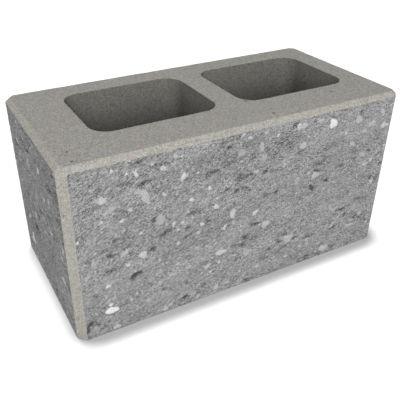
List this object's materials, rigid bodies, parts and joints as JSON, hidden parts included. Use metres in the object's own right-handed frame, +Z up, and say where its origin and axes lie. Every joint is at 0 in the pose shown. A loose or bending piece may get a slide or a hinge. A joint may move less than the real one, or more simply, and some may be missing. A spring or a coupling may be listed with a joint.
{
  "type": "split-face concrete block",
  "caption": "Hollow concrete masonry block for corners, with rough split faces on the front and the left end, smooth back and right end, and open cores from top to bottom.",
  "frame": {"origin": "centre of the rectangle that the block stands on, at its underside", "axes": "+X along the block's length, from the split end to the plain end; +Y through its depth, from the split front to the plain back; +Z up, along the cores"},
  "size_m": [0.4, 0.2, 0.2],
  "materials": {
    "concrete": "matte"
  },
  "bodies": {
    "root": {"concrete_block": "concrete"}
  },
  "joints": []
}
